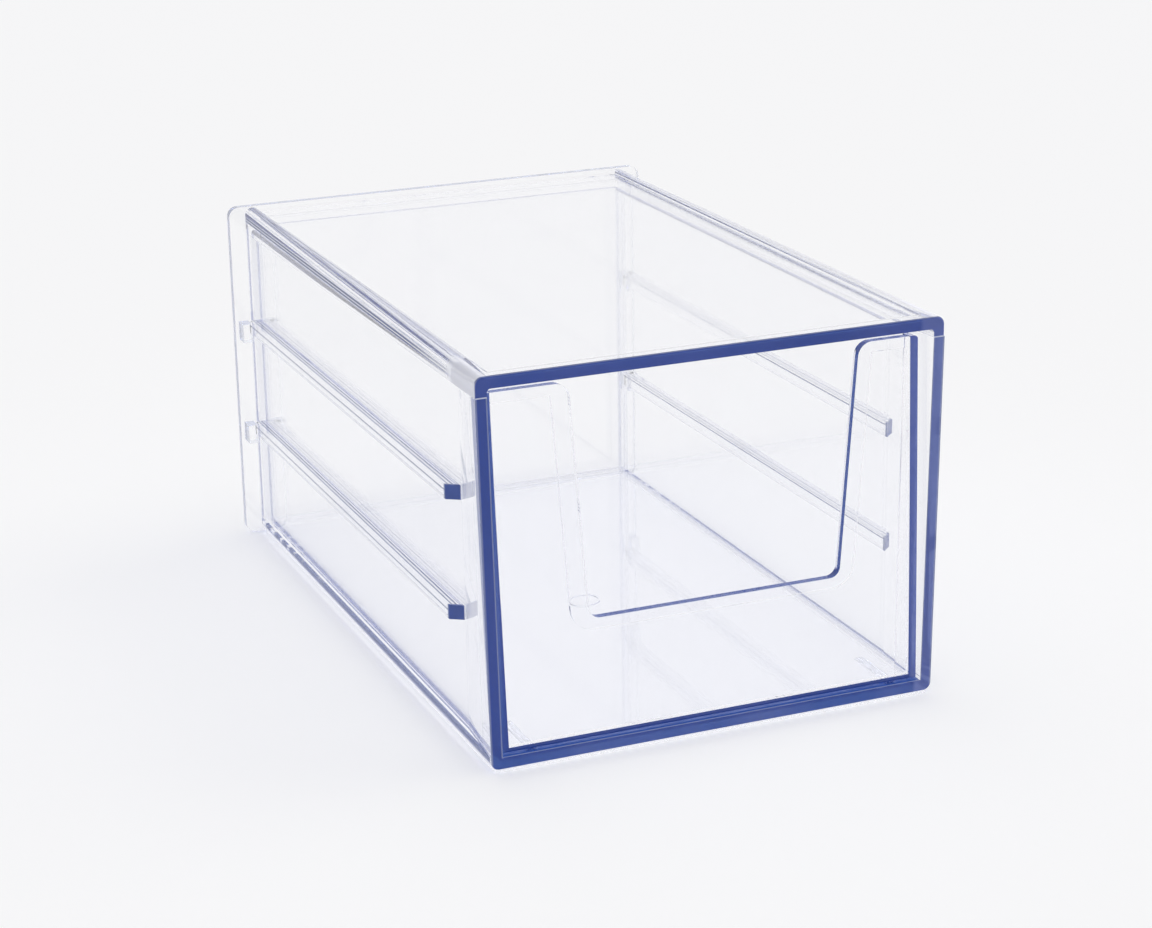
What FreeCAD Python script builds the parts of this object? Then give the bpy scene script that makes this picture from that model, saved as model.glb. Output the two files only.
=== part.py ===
"""Clear moulded desk case with one full-width pull-out drawer.

Lengths are millimetres. Each sub-part is drawn in a frame whose Y is zero at the
case's front face and grows towards the back, and is then placed so that the
finished object stands on Z = 0 with its box centred on X = 0, Y = 0.
"""
import FreeCAD, Part
import Sketcher
import os

doc = FreeCAD.newDocument("DrawerCase")

# Driving dimensions
SIZES = [
    # the case as a whole
    ("case_width", 250.0),
    ("case_depth", 400.0),
    ("case_height", 207.4),
    ("mouth_splay", 3.5),
    ("mouth_depth", 40.0),
    ("rim", 6.3),
    ("corner_round", 4.4),
    ("inner_round", 2.0),
    ("front_edge_round", 1.2),
    # lower shell
    ("side_wall", 3.0),
    ("foot_lip", 2.4),
    ("foot_front_inset", 1.0),
    ("foot_side_inset", 2.5),
    ("underside_depth", 5.0),
    ("floor_plate", 3.4),
    ("rear_rim_depth", 10.0),
    # top cover
    ("cover_side_front", 10.5),
    ("cover_side_back", 15.5),
    ("seam_gap", 0.1),
    ("cover_recess", 3.0),
    ("cover_front_border", 8.0),
    # back plate
    ("plate_gap", 0.1),
    ("plate_thickness", 5.0),
    ("plate_side_margin", 9.9),
    ("plate_top_margin", 0.8),
    ("plate_ground_gap", 1.0),
    ("plate_round", 6.0),
    ("lug_reach", 5.7),
    ("lug_height", 11.3),
    ("lug_drop", 4.2),
    ("lug_gap", 2.0),
    # side rails
    ("rail_reach", 6.8),
    ("rail_height", 7.7),
    ("rail_setback", 41.5),
    ("rail_end_skew", 4.5),
    ("upper_rail_top", 140.0),
    ("lower_rail_top", 75.8),
    # floor glides
    ("glide_width", 5.0),
    ("glide_length", 36.0),
    ("glide_setback", 3.0),
    ("glide_from_side", 14.0),
    ("glide_seat", 1.2),
    ("glide_fit", 0.1),
    ("glide_proud", 0.3),
    # drawer
    ("drawer_side_gap", 0.5),
    ("drawer_floor_gap", 0.6),
    ("drawer_back_gap", 5.0),
    ("drawer_top_gap", 6.3),
    ("drawer_recess", 4.0),
    ("drawer_lean", 9.5),
    ("drawer_wall", 3.0),
    ("drawer_floor", 2.2),
    ("drawer_ring", 4.5),
    ("drawer_ring_depth", 7.0),
    ("drawer_top_round", 2.0),
    ("gate_ring_setback", 178.0),
    ("gate_ring_radius", 9.5),
    ("gate_ring_width", 1.0),
    ("gate_ring_height", 0.5),
    # drawer front
    ("front_thickness", 3.4),
    ("front_sink", 0.6),
    ("front_fit", 0.1),
    ("lip_thickness", 1.6),
    ("lip_width", 9.2),
    ("lip_drop", 6.5),
    ("ear_border", 6.2),
    ("notch_left_head", 74.0),
    ("notch_left_foot", 67.2),
    ("notch_right_head", 86.6),
    ("notch_right_foot", 73.6),
    ("notch_height", 62.6),
    ("ear_round", 8.0),
    ("notch_round", 6.0),
    # working allowance for cuts that run past a face
    ("overrun", 1.0),
]

sizes = doc.addObject("Spreadsheet::Sheet", "sizes")
for row, (alias, value) in enumerate(SIZES, start=1):
    sizes.set(f"A{row}", alias)
    sizes.set(f"B{row}", str(value))
    sizes.setAlias(f"B{row}", alias)
doc.recompute()

# Places that several sub-parts share, as expressions on the sheet
HALF_WIDTH = "(sizes.case_width / 2)"
INNER_HALF = "(sizes.case_width / 2 - sizes.rim)"
PANEL_HALF = "(sizes.case_width / 2 - sizes.rim + sizes.side_wall)"
MIDDLE = "((sizes.case_depth + sizes.plate_gap + sizes.plate_thickness) / 2)"
PLATE_FRONT = "(sizes.case_depth + sizes.plate_gap)"
SEAM = "(sizes.case_height - sizes.cover_side_front)"
SEAM_BACK = "(sizes.case_height - sizes.cover_side_back)"
CEILING = "(sizes.case_height - sizes.rim)"
FLOOR_TOP = "(sizes.underside_depth + sizes.floor_plate)"
SPLAY_AT_SEAM = f"(sizes.mouth_splay * {SEAM} / sizes.case_height)"
SPLAY_AT_FLOOR = f"(sizes.mouth_splay * {FLOOR_TOP} / sizes.case_height)"
PAST_MOUTH = "((sizes.mouth_depth + sizes.overrun) / sizes.mouth_depth)"
DRAWER_BASE = f"({FLOOR_TOP} + sizes.drawer_floor_gap)"
DRAWER_HALF = f"({INNER_HALF} - sizes.drawer_side_gap)"
DRAWER_BACK = "(sizes.case_depth - sizes.drawer_back_gap)"
DRAWER_TOP = f"({CEILING} - sizes.drawer_top_gap)"
DRAWER_HEIGHT = f"({DRAWER_TOP} - {DRAWER_BASE})"
DRAWER_FLOOR_TOP = f"({DRAWER_BASE} + sizes.drawer_floor)"
SLANT = f"(sizes.drawer_lean / {DRAWER_HEIGHT})"
FRONT_BASE = f"({DRAWER_FLOOR_TOP} + sizes.front_fit + {SLANT} * sizes.front_thickness)"
FRONT_HEIGHT = f"({DRAWER_TOP} - {FRONT_BASE})"


def drawer_half_at(height, depth):
    """Half the drawer's outer width at a height and a depth inside the flared mouth."""
    splay = f"sizes.mouth_splay * {height} / sizes.case_height"
    return f"({DRAWER_HALF} + {splay} * (1 - {depth} / sizes.mouth_depth))"


def number(expression):
    """The value of an expression on the sheet."""
    return float(sizes.evalExpression(expression))


def new_body(label):
    """A body for one sub-part, with its Y origin at the case's front face."""
    body = doc.addObject("PartDesign::Body", label)
    body.Label = label
    body.setExpression(".Placement.Base.y", f"-{MIDDLE}")
    return body


def new_sketch(body, name, plane, offset=None):
    """An empty sketch on one of the body's own origin planes."""
    sketch = body.newObject("Sketcher::SketchObject", name)
    support = next(f for f in body.Origin.OriginFeatures if f.Role == plane)
    sketch.AttachmentSupport = (support, [""])
    sketch.MapMode = "FlatFace"
    if offset is not None:
        sketch.setExpression("AttachmentOffset.Base.z", offset)
    return sketch


def pin(sketch, geometry, point, across, up):
    """Hold a sketch point at a place given by two expressions."""
    for kind, expression, axis in (("DistanceX", across, -2), ("DistanceY", up, -1)):
        value = number(expression)
        if value == 0:
            sketch.addConstraint(Sketcher.Constraint("PointOnObject", geometry, point, axis))
            continue
        index = sketch.addConstraint(Sketcher.Constraint(kind, -1, 1, geometry, point, value))
        sketch.setExpression(f"Constraints[{index}]", expression)


def draw_polygon(sketch, points):
    """A closed outline through points given as pairs of expressions."""
    places = [FreeCAD.Vector(number(x), number(y), 0) for x, y in points]
    first = sketch.GeometryCount
    count = len(points)
    for i in range(count):
        sketch.addGeometry(Part.LineSegment(places[i], places[(i + 1) % count]))
    for i in range(count):
        here, after = first + i, first + (i + 1) % count
        sketch.addConstraint(Sketcher.Constraint("Coincident", here, 2, after, 1))
    for i, (x, y) in enumerate(points):
        pin(sketch, first + i, 1, x, y)


def draw_box(sketch, left, right, low, high):
    """A closed rectangle between four expressions."""
    draw_polygon(sketch, [(left, low), (right, low), (right, high), (left, high)])


def draw_mirrored(sketch, half_low, low, half_high, high):
    """A closed trapezoid, the same on both sides of the middle plane."""
    points = [(f"-{half_low}", low), (half_low, low), (half_high, high), (f"-{half_high}", high)]
    draw_polygon(sketch, points)


def draw_circle(sketch, across, up, radius):
    """A circle whose centre and radius are expressions."""
    centre = FreeCAD.Vector(number(across), number(up), 0)
    index = sketch.addGeometry(Part.Circle(centre, FreeCAD.Vector(0, 0, 1), number(radius)))
    pin(sketch, index, 3, across, up)
    size = sketch.addConstraint(Sketcher.Constraint("Radius", index, number(radius)))
    sketch.setExpression(f"Constraints[{size}]", radius)


def pad(body, name, sketch, length, backwards=False, both_ways=False):
    """Thicken a sketch into a solid; backwards means along the plane's other side."""
    feature = body.newObject("PartDesign::Pad", name)
    feature.Profile = sketch
    feature.setExpression("Length", length)
    feature.Reversed = backwards
    if both_ways:
        feature.SideType = "Symmetric"
    doc.recompute()
    return feature


def pocket(body, name, sketch, length, backwards=False, both_ways=False):
    """Cut a sketch out of the solid, and make sure that it did cut."""
    before = body.Shape.Volume
    feature = body.newObject("PartDesign::Pocket", name)
    feature.Profile = sketch
    feature.setExpression("Length", length)
    feature.Reversed = backwards
    if both_ways:
        feature.SideType = "Symmetric"
    doc.recompute()
    if not body.Shape.Volume < before:
        raise RuntimeError(f"{name} cuts nothing")
    return feature


def loft(body, name, first, last, cut=False):
    """Join two sketched sections with flat-sided faces, as a solid or as a cut."""
    kind = "PartDesign::SubtractiveLoft" if cut else "PartDesign::AdditiveLoft"
    feature = body.newObject(kind, name)
    feature.Profile = first
    feature.Sections = [last]
    feature.Ruled = True
    doc.recompute()
    return feature


def round_edges(body, name, radius, wanted):
    """Round every edge of the body's solid that wanted(edge) picks."""
    tip = body.Tip
    edges = [f"Edge{i}" for i, edge in enumerate(tip.Shape.Edges, start=1) if wanted(edge)]
    if not edges:
        raise RuntimeError(f"{name} finds no edge")
    feature = body.newObject("PartDesign::Fillet", name)
    feature.Base = (tip, edges)
    feature.setExpression("Radius", radius)
    doc.recompute()
    return feature


def near(a, b):
    return abs(a - b) < NEAR


def runs_along(edge, axis):
    """True for an edge that keeps mostly to one axis."""
    a, b = edge.Vertexes[0].Point, edge.Vertexes[-1].Point
    spans = [abs(b[i] - a[i]) for i in range(3)]
    return spans[axis] > LONG_SHARE * sum(spans)


def all_at(edge, axis, place):
    """True when both ends of an edge lie at one coordinate."""
    return all(near(vertex.Point[axis], place) for vertex in edge.Vertexes)


NEAR = number("sizes.overrun / 50")
LONG_SHARE = 0.9
X, Y, Z = range(3)


def make_case_shell():
    """Floor and side walls in one piece, flared at the mouth, with a rim round it."""
    body = new_body("case_shell")

    sketch = new_sketch(body, "shell_floor_outline", "XZ_Plane")
    draw_box(sketch, f"-{HALF_WIDTH}", HALF_WIDTH, "sizes.foot_lip", FLOOR_TOP)
    pad(body, "shell_floor", sketch, "sizes.case_depth", backwards=True)

    sketch = new_sketch(body, "shell_wall_outline", "XZ_Plane", "-sizes.mouth_depth")
    draw_box(sketch, f"-{PANEL_HALF}", PANEL_HALF, "sizes.foot_lip", SEAM)
    pad(body, "shell_walls", sketch, "sizes.case_depth - sizes.mouth_depth", backwards=True)

    rim_front = "-(sizes.case_depth - sizes.rear_rim_depth)"
    sketch = new_sketch(body, "shell_rear_rim_outline", "XZ_Plane", rim_front)
    draw_box(sketch, f"-{HALF_WIDTH}", HALF_WIDTH, "sizes.foot_lip", SEAM)
    pad(body, "shell_rear_rim", sketch, "sizes.rear_rim_depth", backwards=True)

    wide = f"({HALF_WIDTH} + {SPLAY_AT_SEAM})"
    front = new_sketch(body, "shell_mouth_front", "XZ_Plane")
    draw_mirrored(front, HALF_WIDTH, "sizes.foot_lip", wide, SEAM)
    back = new_sketch(body, "shell_mouth_back", "XZ_Plane", "-sizes.mouth_depth")
    draw_box(back, f"-{PANEL_HALF}", PANEL_HALF, "sizes.foot_lip", SEAM)
    loft(body, "shell_mouth", front, back)

    low, half = number("sizes.foot_lip"), number(HALF_WIDTH)
    round_edges(body, "shell_lower_round", "sizes.corner_round",
                lambda e: runs_along(e, Y) and all_at(e, Z, low) and abs(e.Vertexes[0].X) > half - NEAR)

    over = f"({SEAM} + sizes.overrun)"
    low = f"({INNER_HALF} + {SPLAY_AT_FLOOR} * {PAST_MOUTH})"
    high = f"({INNER_HALF} + {SPLAY_AT_SEAM} * {PAST_MOUTH})"
    front = new_sketch(body, "shell_opening_front", "XZ_Plane", "sizes.overrun")
    draw_mirrored(front, low, FLOOR_TOP, high, over)
    back = new_sketch(body, "shell_opening_back", "XZ_Plane", "-sizes.mouth_depth")
    draw_box(back, f"-{INNER_HALF}", INNER_HALF, FLOOR_TOP, over)
    loft(body, "shell_opening", front, back, cut=True)

    sketch = new_sketch(body, "shell_bay_outline", "XZ_Plane", "-sizes.mouth_depth")
    draw_box(sketch, f"-{INNER_HALF}", INNER_HALF, FLOOR_TOP, over)
    pocket(body, "shell_bay", sketch, "sizes.case_depth")

    sketch = new_sketch(body, "shell_seam_outline", "YZ_Plane")
    front_low, back_low = f"({SEAM} - sizes.seam_gap)", f"({SEAM_BACK} - sizes.seam_gap)"
    points = [("0", front_low), ("sizes.case_depth", back_low), ("sizes.case_depth", over), ("0", over)]
    draw_polygon(sketch, points)
    pocket(body, "shell_seam", sketch, "2 * sizes.case_width", both_ways=True)

    add_side_rails(body, "upper", "sizes.upper_rail_top")
    add_side_rails(body, "lower", "sizes.lower_rail_top")

    foot = f"({HALF_WIDTH} - sizes.foot_side_inset)"
    sketch = new_sketch(body, "shell_foot_outline", "XY_Plane")
    draw_box(sketch, f"-{foot}", foot, "sizes.foot_front_inset", "sizes.case_depth")
    pad(body, "shell_foot", sketch, "sizes.underside_depth")

    sketch = new_sketch(body, "shell_underside_outline", "XY_Plane")
    draw_box(sketch, f"-{INNER_HALF}", INNER_HALF, "sizes.rim", "sizes.case_depth - sizes.rim")
    pocket(body, "shell_underside", sketch, "sizes.underside_depth", backwards=True)

    sketch = new_sketch(body, "shell_glide_seats", "XY_Plane", FLOOR_TOP)
    outer = f"({INNER_HALF} - sizes.glide_from_side + sizes.glide_fit)"
    inner = f"({INNER_HALF} - sizes.glide_from_side - sizes.glide_width - sizes.glide_fit)"
    start = "(sizes.glide_setback - sizes.glide_fit)"
    end = "(sizes.glide_setback + sizes.glide_length + sizes.glide_fit)"
    draw_box(sketch, inner, outer, start, end)
    draw_box(sketch, f"-{outer}", f"-{inner}", start, end)
    pocket(body, "shell_glide_pockets", sketch, "sizes.glide_seat + sizes.glide_fit")
    return body


def add_side_rails(body, name, rail_top):
    """Two rails at one height, moulded on the outside of the walls up to the rear rim."""
    sketch = new_sketch(body, f"shell_{name}_rail_outline", "XY_Plane", f"{rail_top} - sizes.rail_height")
    skewed = "(sizes.rail_setback + sizes.rail_end_skew)"
    rear = "(sizes.case_depth - sizes.rear_rim_depth / 2)"
    for side in (-1, 1):
        root = f"({side} * ({PANEL_HALF} - sizes.side_wall / 2))"
        face = f"({side} * {PANEL_HALF})"
        tip = f"({side} * ({PANEL_HALF} + sizes.rail_reach))"
        outer = f"({side} * {HALF_WIDTH})"
        rim = "(sizes.case_depth - sizes.rear_rim_depth)"
        points = [(root, "sizes.rail_setback"), (face, "sizes.rail_setback"), (tip, skewed), (tip, rim),
                  (outer, rim), (outer, rear), (root, rear)]
        draw_polygon(sketch, points)
    pad(body, f"shell_{name}_rails", sketch, "sizes.rail_height")


def make_top_cover():
    """The roof with its turned-down sides; a shallow recess on top takes the next case."""
    body = new_body("top_cover")

    wide = f"({HALF_WIDTH} + {SPLAY_AT_SEAM})"
    sketch = new_sketch(body, "cover_outline", "XY_Plane", SEAM_BACK)
    draw_mirrored(sketch, wide, "0", HALF_WIDTH, "sizes.case_depth")
    pad(body, "cover_block", sketch, "sizes.cover_side_back")

    under = f"({SEAM_BACK} - sizes.overrun)"
    sketch = new_sketch(body, "cover_seam_outline", "YZ_Plane")
    points = [("0", under), ("sizes.case_depth", under), ("sizes.case_depth", SEAM_BACK), ("0", SEAM)]
    draw_polygon(sketch, points)
    pocket(body, "cover_seam", sketch, "2 * sizes.case_width", both_ways=True)

    wide = f"({INNER_HALF} + {SPLAY_AT_SEAM} * {PAST_MOUTH})"
    rear = "sizes.case_depth + sizes.overrun"
    sketch = new_sketch(body, "cover_inside_outline", "XY_Plane", CEILING)
    points = [(f"-{wide}", "-sizes.overrun"), (wide, "-sizes.overrun"), (INNER_HALF, "sizes.mouth_depth"),
              (INNER_HALF, rear), (f"-{INNER_HALF}", rear), (f"-{INNER_HALF}", "sizes.mouth_depth")]
    draw_polygon(sketch, points)
    pocket(body, "cover_inside", sketch, "sizes.cover_side_back")

    sketch = new_sketch(body, "cover_recess_outline", "XY_Plane", "sizes.case_height")
    draw_box(sketch, f"-{INNER_HALF}", INNER_HALF, "sizes.cover_front_border", rear)
    pocket(body, "cover_top_recess", sketch, "sizes.cover_recess")

    top, half = number("sizes.case_height"), number(HALF_WIDTH)
    round_edges(body, "cover_long_round", "sizes.corner_round",
                lambda e: runs_along(e, Y) and all_at(e, Z, top) and abs(e.Vertexes[0].X) > half - NEAR)
    ceiling, inner = number(CEILING), number(INNER_HALF)
    round_edges(body, "cover_inner_round", "sizes.inner_round",
                lambda e: runs_along(e, Y) and all_at(e, Z, ceiling) and abs(e.Vertexes[0].X) > inner - NEAR)
    round_edges(body, "cover_front_round", "sizes.front_edge_round",
                lambda e: all_at(e, Y, 0) and all_at(e, Z, top))
    return body


def make_back_plate():
    """A flat sheet that closes the back and stands out past both sides, with four lugs."""
    body = new_body("back_plate")
    edge = f"({HALF_WIDTH} + sizes.plate_side_margin)"
    sketch = new_sketch(body, "plate_outline", "XZ_Plane", f"-{PLATE_FRONT}")
    draw_box(sketch, f"-{edge}", edge, "sizes.plate_ground_gap", "sizes.case_height + sizes.plate_top_margin")
    pad(body, "plate_sheet", sketch, "sizes.plate_thickness", backwards=True)
    round_edges(body, "plate_corners", "sizes.plate_round", lambda e: runs_along(e, Y))

    sketch = new_sketch(body, "plate_lug_outlines", "XZ_Plane", f"-{PLATE_FRONT}")
    near_side = f"({HALF_WIDTH} + sizes.lug_gap)"
    far_side = f"({near_side} + sizes.lug_reach)"
    for rail_top in ("sizes.upper_rail_top", "sizes.lower_rail_top"):
        middle = f"({rail_top} - sizes.rail_height / 2 - sizes.lug_drop)"
        low, high = f"({middle} - sizes.lug_height / 2)", f"({middle} + sizes.lug_height / 2)"
        draw_box(sketch, near_side, far_side, low, high)
        draw_box(sketch, f"-{far_side}", f"-{near_side}", low, high)
    pad(body, "plate_lugs", sketch, "sizes.plate_gap + sizes.rear_rim_depth")
    return body


def make_floor_glide(label, side):
    """A flat strip let into the floor just inside the mouth, which the drawer runs on."""
    body = new_body(label)
    outer = f"({side} * ({INNER_HALF} - sizes.glide_from_side))"
    inner = f"({side} * ({INNER_HALF} - sizes.glide_from_side - sizes.glide_width))"
    sketch = new_sketch(body, f"{label}_outline", "XY_Plane", f"{FLOOR_TOP} - sizes.glide_seat")
    draw_box(sketch, inner, outer, "sizes.glide_setback", "sizes.glide_setback + sizes.glide_length")
    pad(body, f"{label}_strip", sketch, "sizes.glide_seat + sizes.glide_proud")
    return body


def make_drawer_tray():
    """The drawer's floor, sides and back, with a thicker ring round its leaning front."""
    body = new_body("drawer_tray")
    mouth_end = "-sizes.mouth_depth"

    front = new_sketch(body, "tray_mouth_front", "XZ_Plane")
    low, high = drawer_half_at(DRAWER_BASE, "0"), drawer_half_at(DRAWER_TOP, "0")
    draw_mirrored(front, low, DRAWER_BASE, high, DRAWER_TOP)
    back = new_sketch(body, "tray_mouth_back", "XZ_Plane", mouth_end)
    draw_box(back, f"-{DRAWER_HALF}", DRAWER_HALF, DRAWER_BASE, DRAWER_TOP)
    loft(body, "tray_mouth", front, back)

    sketch = new_sketch(body, "tray_block_outline", "XZ_Plane", mouth_end)
    draw_box(sketch, f"-{DRAWER_HALF}", DRAWER_HALF, DRAWER_BASE, DRAWER_TOP)
    pad(body, "tray_block", sketch, f"{DRAWER_BACK} - sizes.mouth_depth", backwards=True)

    sketch = new_sketch(body, "tray_face_outline", "YZ_Plane")
    past = f"(sizes.drawer_lean * sizes.overrun / {DRAWER_HEIGHT})"
    points = [("-sizes.overrun", f"{DRAWER_BASE} - sizes.overrun"),
              (f"sizes.drawer_recess - {past}", f"{DRAWER_BASE} - sizes.overrun"),
              (f"sizes.drawer_recess + sizes.drawer_lean + {past}", f"{DRAWER_TOP} + sizes.overrun"),
              ("-sizes.overrun", f"{DRAWER_TOP} + sizes.overrun")]
    draw_polygon(sketch, points)
    pocket(body, "tray_face", sketch, "2 * sizes.case_width", both_ways=True)

    over = f"({DRAWER_TOP} + sizes.overrun)"
    ring = f"({DRAWER_HALF} - sizes.drawer_ring)"
    low = f"({drawer_half_at(DRAWER_FLOOR_TOP, '-sizes.overrun')} - sizes.drawer_ring)"
    high = f"({drawer_half_at(over, '-sizes.overrun')} - sizes.drawer_ring)"
    front = new_sketch(body, "tray_ring_front", "XZ_Plane", "sizes.overrun")
    draw_mirrored(front, low, DRAWER_FLOOR_TOP, high, over)
    back = new_sketch(body, "tray_ring_back", "XZ_Plane", mouth_end)
    draw_box(back, f"-{ring}", ring, DRAWER_FLOOR_TOP, over)
    loft(body, "tray_ring", front, back, cut=True)

    start = "(sizes.drawer_recess + sizes.drawer_lean + sizes.drawer_ring_depth)"
    wall = f"({DRAWER_HALF} - sizes.drawer_wall)"
    low = f"({drawer_half_at(DRAWER_FLOOR_TOP, start)} - sizes.drawer_wall)"
    high = f"({drawer_half_at(over, start)} - sizes.drawer_wall)"
    front = new_sketch(body, "tray_inside_front", "XZ_Plane", f"-{start}")
    draw_mirrored(front, low, DRAWER_FLOOR_TOP, high, over)
    back = new_sketch(body, "tray_inside_back", "XZ_Plane", mouth_end)
    draw_box(back, f"-{wall}", wall, DRAWER_FLOOR_TOP, over)
    loft(body, "tray_inside_mouth", front, back, cut=True)

    sketch = new_sketch(body, "tray_inside_outline", "XZ_Plane", mouth_end)
    draw_box(sketch, f"-{wall}", wall, DRAWER_FLOOR_TOP, over)
    pocket(body, "tray_inside", sketch, f"{DRAWER_BACK} - sizes.drawer_wall - sizes.mouth_depth")

    sketch = new_sketch(body, "tray_gate_ring_outline", "XY_Plane", DRAWER_FLOOR_TOP)
    draw_circle(sketch, "0", "sizes.gate_ring_setback", "sizes.gate_ring_radius")
    draw_circle(sketch, "0", "sizes.gate_ring_setback", "sizes.gate_ring_radius - sizes.gate_ring_width")
    pad(body, "tray_gate_ring", sketch, "sizes.gate_ring_height")

    top, half = number(DRAWER_TOP), number(DRAWER_HALF)
    round_edges(body, "tray_top_round", "sizes.drawer_top_round",
                lambda e: all_at(e, Z, top) and runs_along(e, Y) and abs(e.Vertexes[0].X) > half - NEAR)
    return body


def make_drawer_front():
    """The drawer's front panel: a deep open notch with a thickened lip round it."""
    body = new_body("drawer_front")
    base_y = f"sizes.drawer_recess + sizes.front_sink + {SLANT} * ({FRONT_BASE} - {DRAWER_BASE})"
    body.setExpression(".Placement.Base.y", f"{base_y} - {MIDDLE}")
    body.setExpression(".Placement.Base.z", FRONT_BASE)
    body.setExpression(".Placement.Rotation.Axis.x", "1")
    body.setExpression(".Placement.Rotation.Axis.y", "0")
    body.setExpression(".Placement.Rotation.Axis.z", "0")
    body.setExpression(".Placement.Rotation.Angle", f"-atan({SLANT})")

    behind = "(sizes.drawer_recess + sizes.front_sink + sizes.front_thickness + sizes.lip_thickness)"
    behind_top = f"({behind} + sizes.drawer_lean)"
    low = f"({drawer_half_at(FRONT_BASE, behind)} - sizes.drawer_ring - sizes.front_fit)"
    high = f"({drawer_half_at(DRAWER_TOP, behind_top)} - sizes.drawer_ring - sizes.front_fit)"
    sketch = new_sketch(body, "front_outline", "XZ_Plane")
    draw_mirrored(sketch, low, "0", high, FRONT_HEIGHT)
    pad(body, "front_sheet", sketch, "sizes.front_thickness", backwards=True)

    foot = f"(sizes.notch_height + {DRAWER_BASE} - {FRONT_BASE})"
    rise = f"({FRONT_HEIGHT} - {foot})"
    lip_low = f"({foot} - sizes.lip_drop)"
    left_slope = f"((sizes.notch_left_head - sizes.notch_left_foot) / {rise})"
    right_slope = f"((sizes.notch_right_head - sizes.notch_right_foot) / {rise})"
    lip_left = f"(sizes.notch_left_foot + sizes.lip_width - {left_slope} * sizes.lip_drop)"
    lip_right = f"(sizes.notch_right_foot + sizes.lip_width - {right_slope} * sizes.lip_drop)"
    lip_left_head = "(sizes.notch_left_head + sizes.lip_width)"
    lip_right_head = "(sizes.notch_right_head + sizes.lip_width)"
    sketch = new_sketch(body, "front_lip_outline", "XZ_Plane", "-sizes.front_thickness")
    points = [(f"-{lip_left}", lip_low), (lip_right, lip_low), (lip_right_head, FRONT_HEIGHT),
              (f"-{lip_left_head}", FRONT_HEIGHT)]
    draw_polygon(sketch, points)
    pad(body, "front_lip", sketch, "sizes.lip_thickness", backwards=True)
    lip_height = number(lip_low)
    round_edges(body, "front_lip_round", "sizes.notch_round + sizes.lip_drop",
                lambda e: runs_along(e, Y) and all_at(e, Z, lip_height))

    sketch = new_sketch(body, "front_border_outline", "XZ_Plane", "-sizes.front_thickness")
    under = f"({FRONT_HEIGHT} - sizes.ear_border)"
    edge = f"({low} + ({high} - {low}) * {under} / {FRONT_HEIGHT})"
    draw_mirrored(sketch, edge, under, high, FRONT_HEIGHT)
    pad(body, "front_border", sketch, "sizes.lip_thickness", backwards=True)

    over = f"({FRONT_HEIGHT} + sizes.overrun)"
    left_head = f"(sizes.notch_left_head + {left_slope} * sizes.overrun)"
    right_head = f"(sizes.notch_right_head + {right_slope} * sizes.overrun)"
    sketch = new_sketch(body, "front_notch_outline", "XZ_Plane", "sizes.overrun")
    points = [("-sizes.notch_left_foot", foot), ("sizes.notch_right_foot", foot), (right_head, over),
              (f"-{left_head}", over)]
    draw_polygon(sketch, points)
    pocket(body, "front_notch", sketch, "sizes.front_thickness + sizes.lip_thickness + 2 * sizes.overrun")

    notch_low = number(foot)
    round_edges(body, "front_notch_round", "sizes.notch_round",
                lambda e: runs_along(e, Y) and all_at(e, Z, notch_low))
    top, reach = number(FRONT_HEIGHT), max(number("sizes.notch_left_head"), number("sizes.notch_right_head"))
    round_edges(body, "front_ear_round", "sizes.ear_round",
                lambda e: runs_along(e, Y) and all_at(e, Z, top) and abs(e.Vertexes[0].X) < reach + NEAR)
    return body


parts = [
    make_case_shell(),
    make_top_cover(),
    make_back_plate(),
    make_floor_glide("floor_glide_left", -1),
    make_floor_glide("floor_glide_right", 1),
    make_drawer_tray(),
    make_drawer_front(),
]
doc.recompute()

for item in doc.Objects:
    for state in ("Invalid", "Error"):
        if state in item.State:
            raise RuntimeError(f"{item.Label} is {state}")
for body in parts:
    if body.Shape.isNull() or not body.Shape.isValid():
        raise RuntimeError(f"{body.Label} has no valid shape")

os.makedirs("parts", exist_ok=True)
for body in parts:
    box = body.Shape.BoundBox
    body.Shape.exportStep(f"parts/{body.Label}.step")
    print(body.Label, len(body.Shape.Solids), round(body.Shape.Volume / 1000, 2), "cm3",
          [round(v, 2) for v in (box.XMin, box.XMax, box.YMin, box.YMax, box.ZMin, box.ZMax)])
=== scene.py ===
"""Looks for the clear desk case with its pull-out drawer: camera, studio and plastics.

The paint functions measure in millimetres from the part's origin. FRONT is the case's front
plane, and depths behind it are written FRONT + depth.
"""

import bmesh
import bpy
from mathutils import Matrix, Vector


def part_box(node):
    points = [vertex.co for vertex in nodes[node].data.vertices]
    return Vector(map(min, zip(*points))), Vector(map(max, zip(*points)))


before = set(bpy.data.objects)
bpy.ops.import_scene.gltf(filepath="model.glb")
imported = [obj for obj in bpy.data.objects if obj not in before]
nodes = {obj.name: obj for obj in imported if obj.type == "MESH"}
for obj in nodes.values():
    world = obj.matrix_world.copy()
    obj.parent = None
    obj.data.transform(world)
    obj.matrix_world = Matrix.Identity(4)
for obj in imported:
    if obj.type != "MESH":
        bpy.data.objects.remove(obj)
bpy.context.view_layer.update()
scene = bpy.context.scene
scene.view_settings.view_transform = "Standard"
MM = 0.001

# Light runs a long way inside the clear walls, and would end there as black with fewer bounces
INNER_BOUNCES = 256
scene.cycles.max_bounces = INNER_BOUNCES
scene.cycles.transmission_bounces = INNER_BOUNCES
scene.cycles.glossy_bounces = INNER_BOUNCES
scene.cycles.transparent_max_bounces = INNER_BOUNCES
scene.cycles.diffuse_bounces = 4
scene.cycles.blur_glossy = 0.0

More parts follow.
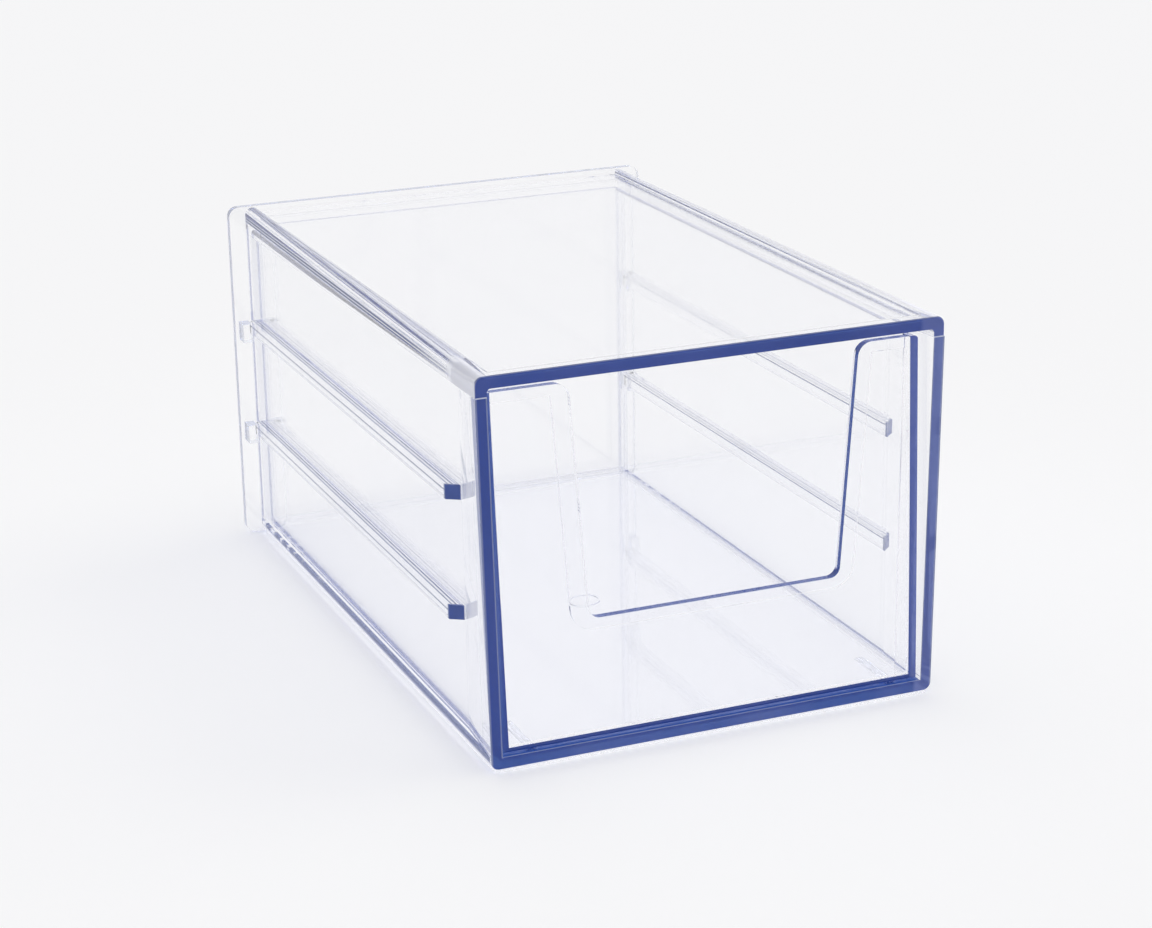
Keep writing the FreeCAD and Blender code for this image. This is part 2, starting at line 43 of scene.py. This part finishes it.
# The camera, at the photograph's angle
CAMERA_PLACE = (-0.56329, -1.38289, 0.57790)
CAMERA_TURN = (
    (0.922281, 0.135343, -0.362051),
    (-0.386170, 0.282773, -0.878016),
    (-0.016455, 0.949590, 0.313062),
)
camera = bpy.data.objects.new("camera", bpy.data.cameras.new("camera"))
scene.collection.objects.link(camera)
camera.matrix_world = Matrix.Translation(CAMERA_PLACE) @ Matrix(CAMERA_TURN).to_4x4()
camera.data.sensor_fit = "HORIZONTAL"
camera.data.sensor_width = 36
camera.data.lens = 86.044
camera.data.clip_end = 50
scene.camera = camera


def new_material(name):
    """A material with an empty node tree and its output."""
    material = bpy.data.materials.new(name)
    material.use_nodes = True
    tree = material.node_tree
    tree.nodes.clear()
    return material, tree, tree.nodes.new("ShaderNodeOutputMaterial")


# The studio: an even light from all round, one soft lamp from the right, and a pale backdrop
# that the camera and the clear plastic see, dimmer overhead
ROOM_WHITE = (1, 1, 1, 1)
ROOM_LIGHT = 0.62
BACKDROP_WHITE = (0.935, 0.935, 0.95, 1)
OVERHEAD_GREY = (0.36, 0.37, 0.40, 1)
OVERHEAD_FROM, OVERHEAD_FULL = 0.5, 0.8  # how steeply upwards, as the sine of the angle
FLOOR_WHITE = (0.93, 0.93, 0.94, 1)
FLOOR_REACH = 6
SOFTBOX_LIGHT = 1.75
SOFTBOX_SPREAD = 0.7
SOFTBOX_SIDE = (0.85, -0.05, 0.75)


def world_light(tree, colour, strength=1):
    """An even light or backdrop of one colour."""
    node = tree.nodes.new("ShaderNodeBackground")
    node.inputs["Color"].default_value = colour
    node.inputs["Strength"].default_value = strength
    return node


world = bpy.data.worlds.new("studio")
scene.world = world
world.use_nodes = True
tree = world.node_tree
tree.nodes.clear()
out = tree.nodes.new("ShaderNodeOutputWorld")
room = world_light(tree, ROOM_WHITE, ROOM_LIGHT)
backdrop = world_light(tree, BACKDROP_WHITE)
overhead = world_light(tree, OVERHEAD_GREY)
place = tree.nodes.new("ShaderNodeTexCoord")
split = tree.nodes.new("ShaderNodeSeparateXYZ")
steepness = tree.nodes.new("ShaderNodeMapRange")
steepness.interpolation_type = "SMOOTHSTEP"
steepness.inputs["From Min"].default_value = OVERHEAD_FROM
steepness.inputs["From Max"].default_value = OVERHEAD_FULL
seen = tree.nodes.new("ShaderNodeMixShader")
tree.links.new(place.outputs["Generated"], split.inputs[0])
tree.links.new(split.outputs["Z"], steepness.inputs["Value"])
tree.links.new(steepness.outputs[0], seen.inputs["Fac"])
tree.links.new(backdrop.outputs[0], seen.inputs[1])
tree.links.new(overhead.outputs[0], seen.inputs[2])
path = tree.nodes.new("ShaderNodeLightPath")
looking = path.outputs["Is Camera Ray"]
for ray in ("Is Glossy Ray", "Is Transmission Ray"):
    either = tree.nodes.new("ShaderNodeMath")
    either.operation = "MAXIMUM"
    tree.links.new(looking, either.inputs[0])
    tree.links.new(path.outputs[ray], either.inputs[1])
    looking = either.outputs[0]
mix = tree.nodes.new("ShaderNodeMixShader")
tree.links.new(looking, mix.inputs["Fac"])
tree.links.new(room.outputs[0], mix.inputs[1])
tree.links.new(seen.outputs[0], mix.inputs[2])
tree.links.new(mix.outputs[0], out.inputs["Surface"])

lamp = bpy.data.objects.new("softbox", bpy.data.lights.new("softbox", "SUN"))
scene.collection.objects.link(lamp)
lamp.data.energy = SOFTBOX_LIGHT
lamp.data.angle = SOFTBOX_SPREAD
lamp.rotation_euler = Vector(SOFTBOX_SIDE).to_track_quat("Z", "Y").to_euler()
# its light reaches the floor by shadow rays, so seen through the plastic it would count twice
lamp.visible_glossy = False
lamp.visible_transmission = False

floor_mesh = bpy.data.meshes.new("floor")
sheet = bmesh.new()
bmesh.ops.create_grid(sheet, x_segments=1, y_segments=1, size=FLOOR_REACH)
sheet.to_mesh(floor_mesh)
sheet.free()
floor = bpy.data.objects.new("floor", floor_mesh)
scene.collection.objects.link(floor)
material, tree, out = new_material("floor_white")
shader = tree.nodes.new("ShaderNodeBsdfDiffuse")
shader.inputs["Color"].default_value = FLOOR_WHITE
tree.links.new(shader.outputs[0], out.inputs["Surface"])
floor_mesh.materials.append(material)


class Mask:
    """Small sums and tests on a surface's Object coordinates and normal, as nodes."""

    def __init__(self, tree):
        self.tree = tree
        place = tree.nodes.new("ShaderNodeTexCoord")
        split = tree.nodes.new("ShaderNodeSeparateXYZ")
        tree.links.new(place.outputs["Object"], split.inputs[0])
        self.place = place.outputs["Object"]
        self.x, self.y, self.z = split.outputs
        geometry = tree.nodes.new("ShaderNodeNewGeometry")
        split = tree.nodes.new("ShaderNodeSeparateXYZ")
        tree.links.new(geometry.outputs["Normal"], split.inputs[0])
        self.facing = [split.outputs[i] for i in range(3)]
        self.outside = self.math("SUBTRACT", 1.0, geometry.outputs["Backfacing"])
        self.aside = self.math("ABSOLUTE", self.x)

    def math(self, operation, *values):
        """One sum on numbers or sockets."""
        node = self.tree.nodes.new("ShaderNodeMath")
        node.operation = operation
        for socket, value in zip(node.inputs, values):
            if isinstance(value, (int, float)):
                socket.default_value = value
            else:
                self.tree.links.new(value, socket)
        return node.outputs[0]

    def ramp(self, value, low, high, bottom=0.0, top=1.0):
        """From bottom at low to top at high, smooth between."""
        node = self.tree.nodes.new("ShaderNodeMapRange")
        node.interpolation_type = "SMOOTHSTEP"
        numbers = {"From Min": low, "From Max": high, "To Min": bottom, "To Max": top}
        for socket, number in numbers.items():
            node.inputs[socket].default_value = number
        self.tree.links.new(value, node.inputs["Value"])
        return node.outputs[0]

    def above(self, value, low, high, least=0.0):
        """1 from high mm up, least under low mm."""
        return self.ramp(value, low * MM, high * MM, least, 1.0)

    def below(self, value, low, high):
        """1 up to low mm, 0 from high mm."""
        return self.ramp(value, low * MM, high * MM, 1.0, 0.0)

    def band(self, value, low, high, soft=0.25):
        """1 between two lengths in mm, with soft borders of so many mm."""
        rise = self.above(value, low - soft, low + soft)
        return self.all(rise, self.below(value, high - soft, high + soft))

    def at_front(self, depth):
        """1 up to a depth in mm behind the case's front plane."""
        return self.band(self.y, FRONT - 5, FRONT + depth)

    def all(self, *values):
        """1 only where every value is 1."""
        result = values[0]
        for value in values[1:]:
            result = self.math("MULTIPLY", result, value)
        return result

    def any(self, *values):
        """1 where some value is 1."""
        result = values[0]
        for value in values[1:]:
            result = self.math("MAXIMUM", result, value)
        return result

    def mix(self, factor, first, second):
        """From the first colour to the second by the factor."""
        node = self.tree.nodes.new("ShaderNodeMix")
        node.data_type = "RGBA"
        for name, value in {"Factor": factor, "A": first, "B": second}.items():
            if isinstance(value, tuple):
                node.inputs[name].default_value = value
            else:
                self.tree.links.new(value, node.inputs[name])
        return node.outputs["Result"]

    def noise(self, scale, detail=2.0, stretch=(1, 1, 1)):
        """A soft random pattern, so many waves to the metre."""
        turn = self.tree.nodes.new("ShaderNodeMapping")
        turn.inputs["Scale"].default_value = stretch
        self.tree.links.new(self.place, turn.inputs["Vector"])
        node = self.tree.nodes.new("ShaderNodeTexNoise")
        node.inputs["Scale"].default_value = scale
        node.inputs["Detail"].default_value = detail
        self.tree.links.new(turn.outputs[0], node.inputs["Vector"])
        return node.outputs[0]


CLEAR = (1.0, 1.0, 1.0, 1)
SATIN_CLEAR = (0.90, 0.91, 0.95, 1)
EDGE_BLUE = (0.008, 0.042, 0.28, 1)
# paler blue: painted light on the right side, and random clouding
EDGE_PALE = (0.075, 0.112, 0.37, 1)
END_BLUE = (0.03, 0.07, 0.29, 1)
# painted highlight: a paler blue for the rounded edges and edge lines that catch light
HIGHLIGHT_BLUE = (0.20, 0.24, 0.42, 1)
LINE_BLUE = (0.06, 0.09, 0.24, 1)
DEEP_LINE = (0.03, 0.06, 0.22, 1)
SMOKE_BLUE = (0.10, 0.13, 0.30, 1)
PALE_RIM = (0.80, 0.82, 0.87, 1)
# painted highlight: a bright line across the frame's cut face at the seam
SEAM_HIGHLIGHT = (0.62, 0.66, 0.80, 1)
# painted light: a pale wash where light gathers in the cover's thick corners
CORNER_LIGHT_PALE = (0.90, 0.91, 0.99, 1)
SHADOW_TINT = (0.985, 0.985, 0.987, 1)
DEPTH_TINT = (0.0, 0.09, 0.54, 1)
DEPTH_DENSITY = 3.0
PLATE_DENSITY = 1.2
PLASTIC_IOR = 1.5


def see_through(tree, out, shader, density):
    """Let light cast through a shader's surface, and tint it by the depth of plastic."""
    clear = tree.nodes.new("ShaderNodeBsdfTransparent")
    clear.inputs["Color"].default_value = SHADOW_TINT
    path = tree.nodes.new("ShaderNodeLightPath")
    mix = tree.nodes.new("ShaderNodeMixShader")
    tree.links.new(path.outputs["Is Shadow Ray"], mix.inputs["Fac"])
    tree.links.new(shader.outputs[0], mix.inputs[1])
    tree.links.new(clear.outputs[0], mix.inputs[2])
    tree.links.new(mix.outputs[0], out.inputs["Surface"])
    absorb = tree.nodes.new("ShaderNodeVolumeAbsorption")
    absorb.inputs["Color"].default_value = DEPTH_TINT
    absorb.inputs["Density"].default_value = density
    tree.links.new(absorb.outputs[0], out.inputs["Volume"])


def relief(tree, shader, height, strength, depth):
    """Give a shader's surface a relief so many mm deep."""
    bump = tree.nodes.new("ShaderNodeBump")
    bump.inputs["Strength"].default_value = strength
    bump.inputs["Distance"].default_value = depth * MM
    tree.links.new(height, bump.inputs["Height"])
    tree.links.new(bump.outputs[0], shader.inputs["Normal"])


def clear_plastic(name, marks, density):
    """See-through plastic; each mark is (where, colour, how solid, seen from within too)."""
    material, tree, out = new_material(name)
    mask = Mask(tree)
    shader = tree.nodes.new("ShaderNodeBsdfPrincipled")
    shader.inputs["IOR"].default_value = PLASTIC_IOR
    colour, solid = CLEAR, 0.0
    for where, tint, amount, within in marks:
        area = where(mask)
        if not within:
            area = mask.all(area, mask.outside)
        colour = mask.mix(area, colour, tint(mask) if callable(tint) else tint)
        solid = mask.any(mask.all(area, amount), solid)
    tree.links.new(colour, shader.inputs["Base Color"])
    tree.links.new(mask.math("SUBTRACT", 1.0, solid), shader.inputs["Transmission Weight"])
    # moulded sheet: faint waves from the flow, and a polish that varies a little
    polish = mask.ramp(mask.noise(45.0, 4.0), 0.3, 0.7, 0.012, 0.034)
    tree.links.new(polish, shader.inputs["Roughness"])
    relief(tree, shader, mask.noise(9.0, 2.0, (1.0, 0.35, 1.0)), 0.25, 0.2)
    see_through(tree, out, shader, density)
    return material


def satin_plastic(name):
    """The glide strips: the same plastic, ground dull by the drawer, and blue at the sill."""
    material, tree, out = new_material(name)
    mask = Mask(tree)
    shader = tree.nodes.new("ShaderNodeBsdfPrincipled")
    shader.inputs["IOR"].default_value = PLASTIC_IOR
    at_sill = mask.at_front(SILL_DEPTH)
    tree.links.new(mask.mix(at_sill, SATIN_CLEAR, EDGE_BLUE), shader.inputs["Base Color"])
    clearness = mask.math("SUBTRACT", 0.8, mask.all(at_sill, 0.55))
    tree.links.new(clearness, shader.inputs["Transmission Weight"])
    scratches = mask.noise(900.0, 3.0, (1.0, 0.04, 1.0))
    tree.links.new(mask.ramp(scratches, 0.35, 0.65, 0.12, 0.38), shader.inputs["Roughness"])
    relief(tree, shader, scratches, 0.4, 0.05)
    see_through(tree, out, shader, DEPTH_DENSITY)
    return material


# Lengths of the part, in mm
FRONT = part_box("case_shell")[0].y / MM
MOUTH_SPLAY = 3.5 / 207.4  # how far the mouth's sides lean outwards, by height
DRAWER_FOOT = 9.0
DRAWER_LEAN = 9.5 / 185.8  # how far the drawer's front leans back, by height
INNER_WALL = 118.7
OUTER_WALL = 121.7
RAIL_SETBACK = 41.5
RAIL_SKEW = 4.5 / 6.8
RAIL_TOPS = (140.0, 75.8)
SEAM_FRONT = 196.9
SILL_DEPTH = 5.5


def faces_front(mask, low=0.7, high=0.8):
    """Faces that look at the front."""
    return mask.ramp(mask.math("MULTIPLY", mask.facing[1], -1.0), low, high)


def faces_aside(mask, low, high):
    """Faces that look to the left or right."""
    return mask.ramp(mask.math("ABSOLUTE", mask.facing[0]), low, high)


def frame_across(mask):
    """Distance from the middle plane, with the flare of the mouth taken off."""
    return mask.math("SUBTRACT", mask.aside, mask.all(mask.z, MOUTH_SPLAY))


def strip_blue(mask):
    """Deep blue of the cut edges, clouded a little, and paler on the right side as painted
    light.
    """
    # painted light: paler blue on the right side, standing in for the light falling from that
    # side
    right = mask.above(mask.x, 113.5, 116.5)
    cloud = mask.ramp(mask.noise(18.0, 2.0, (1.0, 1.0, 0.5)), 0.35, 0.75, 0.0, 0.35)
    return mask.mix(mask.any(right, cloud), EDGE_BLUE, EDGE_PALE)


def shell_frame(mask):
    """The cut face of the shell's front frame."""
    return mask.all(faces_front(mask), mask.at_front(1), mask.above(mask.z, 2.2, 2.5))


def frame_inner_highlight(mask):
    """Painted highlight: the rounded inner edge of the frame's two sides, painted paler where
    it catches light.
    """
    edge = mask.band(frame_across(mask), 118.2, 119.3)
    return mask.all(shell_frame(mask), edge, mask.above(mask.z, 7.5, 9))


def frame_outer_highlight(mask):
    """Painted highlight: the rounded outer edge of the frame's two sides, painted paler."""
    return mask.all(shell_frame(mask), mask.band(frame_across(mask), 124.1, 126.0, 0.4))


def shell_seam_end(mask):
    """Painted highlight: the bright end of the seam in the front frame, on the shell's side of
    it.
    """
    return mask.all(shell_frame(mask), mask.above(mask.z, SEAM_FRONT - 0.5, SEAM_FRONT - 0.2))


def sill(mask):
    """The floor's top just inside the frame, as dark as the frame."""
    upward = mask.ramp(mask.facing[2], 0.7, 0.8)
    floor_top = mask.band(mask.z, 8.0, 8.8)
    between_walls = mask.below(mask.aside, INNER_WALL, INNER_WALL + 0.5)
    return mask.all(upward, mask.at_front(SILL_DEPTH), floor_top, between_walls)


def sill_highlight(mask):
    """Painted highlight: the bright front edge of the sill."""
    return mask.all(sill(mask), mask.at_front(0.8))


def rail_ends(mask):
    """The skewed front ends of the side rails, and the rails' first millimetres behind them."""
    root = mask.math("SUBTRACT", mask.aside, OUTER_WALL * MM)
    along = mask.math("SUBTRACT", mask.y, mask.all(root, RAIL_SKEW))
    near = mask.band(along, FRONT + RAIL_SETBACK - 1.0, FRONT + RAIL_SETBACK + 1.7, 0.2)
    return mask.all(near, mask.band(mask.aside, 121.9, 130, 0.1), mask.band(mask.z, 60, 150))


def rail_lines(mask):
    """The dark lines along each rail: on its top, its outer face and at its lower root."""
    upward = mask.ramp(mask.facing[2], 0.7, 0.8)
    downward = mask.ramp(mask.facing[2], -0.8, -0.7, 1.0, 0.0)
    along = mask.band(mask.y, FRONT + 42, FRONT + 390)
    thin_line = mask.band(mask.aside, 122.9, 123.2, 0.15)
    wide_line = mask.band(mask.aside, 124.4, 125.1, 0.15)
    top = mask.all(upward, mask.any(thin_line, wide_line))
    low = mask.all(downward, mask.band(mask.aside, OUTER_WALL, 122.6))
    face_lines = [mask.band(mask.z, edge - 3.3, edge - 2.6) for edge in RAIL_TOPS]
    outer_face = mask.all(faces_aside(mask, 0.7, 0.8), mask.band(mask.aside, 128.0, 129.0))
    tip = mask.all(outer_face, mask.any(*face_lines))
    heights = mask.all(mask.above(mask.z, 60, 62), mask.below(mask.z, 141, 142))
    return mask.all(mask.any(top, low, tip), along, heights)


def floor_bands(mask):
    """The blue bands along the floor's outer edges, broken up towards the back."""
    whole = mask.below(mask.y, 60, 160)
    broken = mask.ramp(mask.noise(90.0, 1.0, (0.1, 1.0, 0.1)), 0.42, 0.5)
    edge = mask.all(mask.band(mask.aside, 123.2, 126.0), mask.band(mask.z, 5.6, 8.9))
    behind_frame = mask.above(mask.y, FRONT + 1, FRONT + 3)
    return mask.all(edge, behind_frame, mask.any(whole, broken))


def cover_frame(mask):
    """The cut face of the roof at the front."""
    return mask.all(faces_front(mask), mask.at_front(1))


def cover_bevel_highlight(mask):
    """Painted highlight: the small round over the roof's front edge, painted paler."""
    upward = mask.ramp(mask.facing[2], 0.2, 0.5)
    return mask.all(faces_front(mask, 0.15, 0.3), upward, mask.at_front(1.5))


def cover_bands(mask):
    """The two dark lines along each side of the cover, a little fainter near the front."""
    fainter = mask.above(mask.y, -160, -100, 0.6)
    lines = mask.any(mask.band(mask.z, 200.6, 202.0), mask.band(mask.z, 199.0, 200.2))
    outer_side = mask.all(mask.band(mask.aside, 123, 140), faces_aside(mask, 0.8, 0.9))
    return mask.all(lines, outer_side, fainter)


def cover_corner_light(mask):
    """Painted light: the cover's thick sides in the flare of the mouth, painted pale where
    light gathers, fading towards the back.
    """
    fading = mask.below(mask.y, FRONT + 30, FRONT + 46)
    behind_edge = mask.above(mask.y, FRONT, FRONT + 1)
    return mask.all(fading, behind_edge, mask.band(mask.aside, 122, 140))


def cover_seam_end(mask):
    """Painted highlight: the bright end of the seam in the front frame, on the cover's side of
    it.
    """
    return mask.all(cover_frame(mask), mask.below(mask.z, SEAM_FRONT + 0.1, SEAM_FRONT + 0.4))


def tray_ring(mask):
    """The leaning front face of the drawer's ring."""
    return mask.all(faces_front(mask), mask.at_front(20))


def notch_edge(mask):
    """The cut faces that look into the notch, and the tops of the ears beside it."""
    inward = mask.all(mask.facing[0], mask.math("SIGN", mask.x), -1.0)
    height = mask.math("SUBTRACT", mask.z, DRAWER_FOOT * MM)
    behind_lean = mask.math("SUBTRACT", mask.y, mask.all(height, DRAWER_LEAN))
    inward = mask.all(inward, mask.band(behind_lean, FRONT, FRONT + 7.8))
    looking = mask.any(inward, mask.facing[2])
    return mask.all(mask.ramp(looking, 0.3, 0.5), mask.above(mask.z, 60, 62))


def plate_rim(mask):
    """The cut edge all round the back plate."""
    return mask.ramp(mask.math("ABSOLUTE", mask.facing[1]), 0.4, 0.6, 1.0, 0.0)


# where, colour, how solid, seen from within too; later marks lie over earlier ones
MARKS = {
    "case_shell": [
        (floor_bands, SMOKE_BLUE, 0.5, False),
        (rail_lines, LINE_BLUE, 0.75, True),
        (rail_ends, END_BLUE, 0.75, True),
        (shell_frame, strip_blue, 0.75, False),
        (frame_inner_highlight, HIGHLIGHT_BLUE, 0.75, False),
        (frame_outer_highlight, HIGHLIGHT_BLUE, 0.75, False),
        (shell_seam_end, SEAM_HIGHLIGHT, 0.75, False),
        (sill, EDGE_BLUE, 0.75, False),
        (sill_highlight, HIGHLIGHT_BLUE, 0.75, False),
    ],
    "top_cover": [
        (cover_bands, DEEP_LINE, 0.95, True),
        (cover_corner_light, CORNER_LIGHT_PALE, 0.75, False),
        (cover_bevel_highlight, HIGHLIGHT_BLUE, 0.7, False),
        (cover_frame, strip_blue, 0.75, False),
        (cover_seam_end, SEAM_HIGHLIGHT, 0.75, False),
    ],
    "drawer_tray": [(tray_ring, strip_blue, 0.75, False)],
    "drawer_front": [(notch_edge, EDGE_BLUE, 0.75, False)],
    "back_plate": [(plate_rim, PALE_RIM, 0.45, True)],
}
for name, node in nodes.items():
    if name in MARKS:
        density = PLATE_DENSITY if name == "back_plate" else DEPTH_DENSITY
        node.data.materials[0] = clear_plastic(f"clear_{name}", MARKS[name], density)
    else:
        node.data.materials[0] = satin_plastic(f"satin_{name}")
